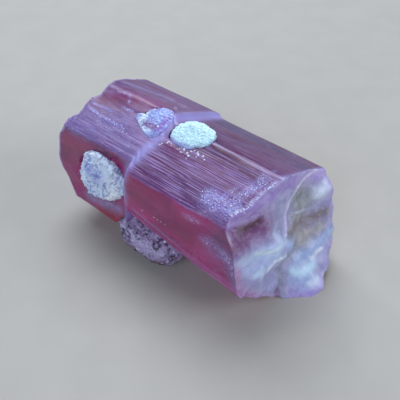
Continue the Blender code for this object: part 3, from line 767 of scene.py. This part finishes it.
class AddRubellitePrism(bpy.types.Operator):
    """Add the pink tourmaline prism with its ribs, ring and broken ends"""

    bl_idname = "mesh.rubellite_prism_add"
    bl_label = "Rubellite Prism"

    def execute(self, context):
        settings = context.scene.elbaite_crystal
        prism = copy_of("tourmaline_crystal", "rubellite_prism")
        bpy.ops.object.mode_set(mode="EDIT")
        bpy.ops.mesh.select_all(action="DESELECT")
        bpy.ops.mesh.edges_select_sharp(sharpness=SHARP_EDGE)
        bpy.ops.transform.edge_crease(value=EDGE_CREASE)
        bpy.ops.object.mode_set(mode="OBJECT")
        levels = settings.refinement
        apply_modifier(prism, "SUBSURF", levels=levels, render_levels=levels)
        points = points_of(prism)
        far_end, far_tip = step(-points[:, 0], 10.0, 12.5), points[:, 0].min()
        far_group = weight_group(prism, "far_end", far_end)
        apply_modifier(prism, "SMOOTH", factor=SMOOTHING, iterations=FAR_END_STEPS, vertex_group=far_group)
        apply_modifier(
            prism, "SMOOTH", factor=SMOOTHING, iterations=FAR_TIP_STEPS, use_y=False, use_z=False,
            vertex_group=far_group,
        )
        points = points_of(prism)
        back_rim = step(points[:, 0], 11.0, 13.0) * step(-points[:, 1], 6.2, 7.4)
        rim_group = weight_group(prism, "rim", np.maximum(back_rim, near_place(points, *LOW_CORNER)))
        apply_modifier(prism, "SMOOTH", factor=SMOOTHING, iterations=RIM_STEPS, vertex_group=rim_group)
        # The far end keeps its length, though smoothing has drawn it in
        points = points_of(prism)
        points[:, 0] -= (points[:, 0].min() - far_tip) * far_end
        move_to(prism, bend_ring(points))
        points, normals = points_of(prism), normals_of(prism)
        masks = region_masks(points, normals)
        lift = sculpt_break(points, masks) + growth_ribs(points, masks, settings)
        move_to(prism, points + normals * lift[:, None])
        broken = weight_group(prism, "broken", masks["broken"])
        displace(prism, "STUCCI", settings.hackle_height, HACKLE_SIZE, group=broken)
        displace(prism, "CLOUDS", WAVE_HEIGHT, WAVE_SIZE, stretch=3.0)
        prism.vertex_groups.clear()
        points = rest_on_table(prism)
        store_masks(prism, masks)
        store_tint(prism, crystal_tint(points, masks, settings))
        prism.data.materials.append(rubellite_material(settings))
        make_active(prism)
        bpy.ops.object.shade_smooth_by_angle(angle=PRISM_SHADING)
        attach(prism, "root")
        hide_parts("tourmaline_crystal")
        return {"FINISHED"}


# What each albite grain is like. It takes the place of a CAD node that sits on a crystal face: the way that
# face looks in degrees over the front, and its distance from the axis. Its cleavage facets cut away a share
# of its reach. Then come its lumps in mm, its outline on the face as places where the imported one isn't
# angular enough, its tints, painted shade among them, and its dark seams: their colour, share and grain in
# mm.
ALBITE = {
    "albite_side_lump": dict(
        node="albite_side_grain",
        face=(4.0, 8.3),
        facets=13,
        cut=0.16,
        lump_height=0.46,
        lump_size=1.0,
        base="#e6f2ff",
        outline=(
            (-13.9, 8.6, 0.3), (-12.6, 8.6, 3.2), (-12.3, 8.6, 4.2), (-10.0, 8.6, 5.1), (-9.0, 8.6, 4.6),
            (-7.6, 8.6, 4.2), (-6.3, 8.6, 2.7), (-6.1, 8.6, 0.9), (-7.4, 8.6, -0.6), (-9.1, 8.6, -1.5),
            (-11.1, 8.6, -1.9), (-13.4, 8.6, -1.3),
        ),
        tints={
            "white far edge": (((-6.9, 8.8, 3.6), (-6.8, 8.8, 1.0), (-7.8, 8.8, -1.2)), 0.8, "#faffff"),
            "white top": (((-9.4, 8.6, 4.6), (-8.0, 8.6, 4.4)), 0.5, "#eaf4ff"),
            "grey heart": (((-11.6, 8.9, 3.0), (-9.6, 9.0, 2.4)), 1.0, "#b4bee8"),
            "grey foot": (((-12.0, 8.7, -0.4), (-10.2, 8.7, -2.0)), 0.7, "#c2ccf0"),
        },
        seams=("#8088c0", 0.66, 0.5),
    ),
    "albite_top_oval": dict(
        node="albite_top_patch",
        face=(65.0, 8.9),
        facets=9,
        cut=0.07,
        lump_height=0.2,
        lump_size=0.6,
        base="#d2f6fa",
        tints={
            "greyer near half": (((0.2, 1.0, 9.3), (1.6, 1.0, 9.3)), 0.7, "#ccf2f2"),
            "lilac far rim": (((-2.2, -0.9, 9.6), (0.2, -1.3, 9.8), (1.6, -0.9, 9.7)), 0.3, "#a8b4ec"),
            # The lower edge is painted in the lilac of the grain's shaded underside
            "lilac painted shade on the lower edge": (
                ((-2.4, 2.8, 8.5), (-1.2, 3.1, 8.6), (0.2, 3.1, 8.7), (1.3, 2.8, 8.8)), 0.5, "#9484cc",
            ),
            "plum notch": (((1.7, 2.4, 8.9), (2.5, 1.9, 9.0)), 0.38, "#74508e"),
            "grey near corner": (((2.8, 0.9, 9.2), (3.0, 0.0, 9.3)), 0.35, "#8a9ed4"),
        },
        seams=("#9ab4cc", 0.4, 0.45),
    ),
    "albite_ridge_skin": dict(
        node="albite_ridge_patch",
        face=(66.0, 8.8),
        facets=7,
        cut=0.06,
        lump_height=0.16,
        lump_size=0.6,
        base="#a4b6ea",
        outline=(
            (-8.7, 1.7, 8.9), (-7.3, 1.7, 9.0), (-6.9, 0.7, 9.4), (-5.7, -0.1, 9.7), (-4.4, -0.2, 9.7),
            (-3.7, 0.9, 9.4), (-4.0, 2.0, 8.8), (-4.2, 2.9, 8.4), (-4.9, 3.4, 8.2), (-6.1, 3.0, 8.4),
            (-7.2, 2.5, 8.6),
        ),
        tints={
            "white far edge": (((-7.6, 1.0, 9.2), (-7.2, 2.4, 8.6)), 0.55, "#ecfcff"),
            "white front edge": (((-6.8, 2.9, 8.3), (-5.4, 3.0, 8.3)), 0.3, "#eaf8ff"),
            "red pit": (((-6.4, 2.3, 8.6), (-4.9, 2.3, 8.6)), 0.42, "#7c2c66"),
            "bare far corner": (((-7.6, 0.2, 9.5), (-6.4, -0.3, 9.7)), 0.5, "#8a52a0"),
            "bare near side": (((-4.3, 2.2, 8.7), (-4.2, 0.8, 9.3)), 0.5, "#9a78c8"),
        },
        seams=("#8264a4", 0.6, 0.5),
    ),
    "albite_base_lump": dict(
        node="albite_base_grain",
        face=(-20.0, 8.8),
        facets=14,
        cut=0.1,
        lump_height=0.42,
        lump_size=0.9,
        base="#b8a6c8",
        tints={
            "pale upper rim": (((-7.4, 9.0, -4.0), (-4.0, 9.2, -4.2), (1.0, 9.2, -4.8)), 0.6, "#c8bede"),
            "brown foot": (((-5.0, 9.0, -7.4), (1.0, 8.6, -7.9)), 0.9, "#6c4c5c"),
        },
        seams=("#443250", 0.9, 0.62),
    ),
}
# How far a grain swells to fill its seat, and the edge length of its mesh, in mm
SEAT_FILL = 0.36
GRAIN_FINENESS = 0.1
# The step round a grain's outline in degrees, and how nearly two directions or places have to agree
OUTLINE_STEP = 5.0
PARALLEL = 1e-9
CORNER_SLACK = 1e-6
# Cleavage facets are spread evenly round a grain. The flattest and the steepest, in degrees over the face.
GOLDEN_ANGLE = math.pi * (3.0 - math.sqrt(5.0))
GOLDEN_SHARE = 0.618
FLATTEST_FACET = 18
STEEPEST_FACET = 74


def face_directions(face):
    """The way a crystal face looks and the way across it, as (x, front, up)."""
    turn = math.radians(face[0])
    return np.array((0.0, math.cos(turn), math.sin(turn))), np.array((0.0, -math.sin(turn), math.cos(turn)))


def cleave(grain, face, facets, cut):
    """Cuts flat cleavage facets off the part of a grain that stands out of its face."""
    out, across = face_directions(face)
    for i in range(facets):
        way = i * GOLDEN_ANGLE
        share = i * GOLDEN_SHARE % 1.0
        steep = math.radians(FLATTEST_FACET + (STEEPEST_FACET - FLATTEST_FACET) * share)
        direction = out * math.sin(steep) + across * math.sin(way) * math.cos(steep)
        direction[0] += math.cos(way) * math.cos(steep)
        points = points_of(grain)
        middle = (points.min(axis=0) + points.max(axis=0)) / 2
        reach = ((points - middle) @ direction).max()
        make_active(grain)
        bpy.ops.object.mode_set(mode="EDIT")
        bpy.ops.mesh.select_all(action="SELECT")
        bpy.ops.mesh.bisect(
            plane_co=in_frame(middle + direction * reach * (1.0 - cut)),
            plane_no=(direction[0], -direction[1], direction[2]), use_fill=True, clear_outer=True,
        )
        bpy.ops.object.mode_set(mode="OBJECT")


def fit_outline(grain, face, outline):
    """Draws a grain's outline on its crystal face out to a polygon of places, from the polygon's middle."""
    points = points_of(grain)
    _, across = face_directions(face)
    flat = np.column_stack((points[:, 0], points @ across))
    corners = np.array([(place[0], np.array(place) @ across) for place in outline])
    middle = corners.mean(axis=0)
    away = flat - middle
    turn = np.degrees(np.arctan2(away[:, 1], away[:, 0]))
    reach = np.linalg.norm(away, axis=1)
    ways = np.arange(-180.0, 180.0, OUTLINE_STEP)
    own, wanted = [], []
    for way in ways:
        apart = np.abs((turn - way + 180.0) % 360.0 - 180.0)
        own.append(reach[apart < OUTLINE_STEP].max())
        wanted.append(reach_of_polygon(corners - middle, math.radians(way)))
    share = np.interp(turn, ways, np.array(wanted) / np.array(own), period=360.0)
    moved = away * share[:, None] - away
    points[:, 0] += moved[:, 0]
    move_to(grain, points + moved[:, 1, None] * across)


def reach_of_polygon(corners, way):
    """How far the polygon's side lies from the origin in one direction."""
    ahead = np.array((math.cos(way), math.sin(way)))
    farthest = 0.0
    for start, end in zip(corners, np.roll(corners, -1, axis=0)):
        side = end - start
        bottom = ahead[0] * side[1] - ahead[1] * side[0]
        if abs(bottom) < PARALLEL:
            continue
        distance = (start[0] * side[1] - start[1] * side[0]) / bottom
        share = (start[0] * ahead[1] - start[1] * ahead[0]) / bottom
        if distance > 0.0 and -CORNER_SLACK <= share <= 1.0 + CORNER_SLACK:
            farthest = max(farthest, distance)
    return farthest


def fill_seat(grain, face):
    """Swells a grain until it fills its seat, but leaves it no prouder of the crystal's face than it was."""
    points, normals = points_of(grain), normals_of(grain)
    out, _ = face_directions(face)
    proud = step(points @ out - face[1], -0.3, 0.2)
    swell = normals * SEAT_FILL
    swell -= out * (np.maximum(swell @ out, 0.0) * proud)[:, None]
    move_to(grain, points + swell)


class AddAlbiteGrains(bpy.types.Operator):
    """Add the four grains of albite that grew onto the crystal"""

    bl_idname = "mesh.albite_grains_add"
    bl_label = "Albite Grains"

    def execute(self, context):
        for name, look in ALBITE.items():
            grain = copy_of(look["node"], name)
            cleave(grain, look["face"], look["facets"], look["cut"])
            apply_modifier(grain, "REMESH", mode="VOXEL", voxel_size=GRAIN_FINENESS * MM)
            if "outline" in look:
                fit_outline(grain, look["face"], look["outline"])
            fill_seat(grain, look["face"])
            height, size = look["lump_height"] * MM, look["lump_size"] * MM
            displace(grain, "VORONOI", height, size, color_mode="POSITION")
            displace(grain, "CLOUDS", height * 0.5, size * 0.5)
            points = rest_on_table(grain)
            unevenness = 0.3 * waves(points, 0.6)
            base = np.tile(np.array(linear(look["base"])), (len(points), 1))
            store_tint(grain, painted(points, base, look["tints"], unevenness))
            grain.data.materials.append(albite_material(name + "_sugar", *look["seams"]))
            make_active(grain)
            bpy.ops.object.shade_smooth_by_angle(angle=GRAIN_SHADING)
            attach(grain, "root")
            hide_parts(look["node"])
        return {"FINISHED"}


def crumb_material():
    """Albite crumbs as they broke off: small clean splinters, glassy and nearly white."""
    material, add = new_material("albite_splinters")
    links = {"Base Color": linear("#f0f2ff"), "Roughness": 0.25, "IOR": ALBITE_IOR}
    add("OutputMaterial", {"Surface": add("BsdfPrincipled", links)})
    return material


class AddAlbiteCrumbs(bpy.types.Operator):
    """Add the loose crumbs of albite that stick to the crystal, all copied from one"""

    bl_idname = "mesh.albite_crumbs_add"
    bl_label = "Albite Crumbs"

    def execute(self, context):
        prism = bpy.data.objects["rubellite_prism"]
        chance = random.Random(CRUMB_SEED)
        bpy.ops.mesh.primitive_ico_sphere_add(subdivisions=2, radius=0.5)
        first = context.object
        bpy.ops.object.mode_set(mode="EDIT")
        bpy.ops.transform.vertex_random(offset=0.16, seed=CRUMB_SEED)
        bpy.ops.object.mode_set(mode="OBJECT")
        crumbs = []
        for middle, (along, across), count, size in CRUMBS.values():
            for _ in range(count):
                make_active(first)
                bpy.ops.object.duplicate()
                crumb = context.object
                place = in_frame(middle) + Vector((chance.gauss(0, along), chance.gauss(0, across), 0)) * MM
                crumb.location = prism.closest_point_on_mesh(place)[1]
                crumb.scale = [size * MM * chance.uniform(0.5, 1.5) for _ in range(3)]
                crumb.rotation_euler = [chance.uniform(0.0, math.tau) for _ in range(3)]
                crumbs.append(crumb)
        bpy.data.objects.remove(first)
        make_active(crumbs[0])
        for crumb in crumbs:
            crumb.select_set(True)
        bpy.ops.object.join()
        bpy.ops.object.transform_apply()
        piece = context.object
        piece.name = "albite_crumbs"
        rest_on_table(piece)
        piece.data.materials.append(crumb_material())
        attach(piece, "root")
        return {"FINISHED"}


# The soft boxes, each with its place and its side in metres, its power in watts and its colour
LIGHTS = {
    "window": ((-0.28, 0.22, 0.5), 0.42, 4.0, "#e2eeff"),
    "side_window": ((0.5, 0.26, 0.3), 0.36, 2.05, "#e6eeff"),
    "front_fill": ((0.12, -0.5, 0.36), 0.5, 2.1, "#d4e2ff"),
}
# The even light from all round, the side of the floor in metres and the width of the camera's frame in mm
AIR_COLOUR = "#e8ecf2"
AIR_STRENGTH = 0.12
FLOOR_SIZE = 3.0
SENSOR_WIDTH = 36.0


class AddStudio(bpy.types.Operator):
    """Add the pale floor, the soft lights and the camera"""

    bl_idname = "scene.elbaite_studio_add"
    bl_label = "Studio"

    def execute(self, context):
        settings = context.scene.elbaite_studio
        bpy.ops.mesh.primitive_plane_add(size=FLOOR_SIZE, location=(0.0, 0.0, 0.0))
        floor = context.object
        floor.name = "floor"
        floor.data.materials.append(floor_material(settings))
        self.add_camera(context, settings)
        for name, light in LIGHTS.items():
            self.add_light(name, *light)
        world = bpy.data.worlds.new("studio_air")
        world.use_nodes = True
        air = world.node_tree.nodes["Background"]
        air.inputs["Color"].default_value = (*linear(AIR_COLOUR), 1.0)
        air.inputs["Strength"].default_value = AIR_STRENGTH
        context.scene.world = world
        context.scene.view_settings.view_transform = "Standard"
        return {"FINISHED"}

    def add_camera(self, context, settings):
        back = Vector((
            math.sin(settings.azimuth) * math.cos(settings.elevation),
            -math.cos(settings.azimuth) * math.cos(settings.elevation),
            math.sin(settings.elevation),
        ))
        aim = Vector(settings.aim)
        bpy.ops.object.camera_add(location=aim + back * settings.distance)
        camera = context.object
        camera.rotation_euler = back.to_track_quat("Z", "Y").to_euler()
        camera.data.lens = settings.lens
        camera.data.sensor_width = SENSOR_WIDTH
        camera.data.clip_start = 1.0 * MM
        context.scene.camera = camera

    def add_light(self, name, place, size, power, colour):
        """A square soft box that faces the crystal."""
        bpy.ops.object.light_add(type="AREA", location=place)
        light = bpy.context.object
        light.name = name
        light.rotation_euler = Vector(place).to_track_quat("Z", "Y").to_euler()
        light.data.size = size
        light.data.energy = power
        light.data.color = linear(colour)


class CrystalPanel(bpy.types.Panel):
    """Buttons for the crystal, its albite and the studio"""

    bl_idname = "VIEW3D_PT_elbaite_crystal"
    bl_label = "Elbaite Crystal"
    bl_space_type = "VIEW_3D"
    bl_region_type = "UI"
    bl_category = "Crystal"

    def draw(self, context):
        for operator in (AddRubellitePrism, AddAlbiteGrains, AddAlbiteCrumbs, AddStudio):
            self.layout.operator(operator.bl_idname)


CLASSES = (
    CrystalSettings, StudioSettings, AddRubellitePrism, AddAlbiteGrains, AddAlbiteCrumbs, AddStudio,
    CrystalPanel,
)


def register():
    for cls in CLASSES:
        bpy.utils.register_class(cls)
    bpy.types.Scene.elbaite_crystal = bpy.props.PointerProperty(type=CrystalSettings)
    bpy.types.Scene.elbaite_studio = bpy.props.PointerProperty(type=StudioSettings)


def unregister():
    del bpy.types.Scene.elbaite_studio
    del bpy.types.Scene.elbaite_crystal
    for cls in reversed(CLASSES):
        bpy.utils.unregister_class(cls)


def main():
    register()
    bpy.ops.object.select_all(action="DESELECT")
    bpy.ops.mesh.rubellite_prism_add()
    bpy.ops.mesh.albite_grains_add()
    bpy.ops.mesh.albite_crumbs_add()
    bpy.ops.scene.elbaite_studio_add()


if __name__ == "__main__":
    main()
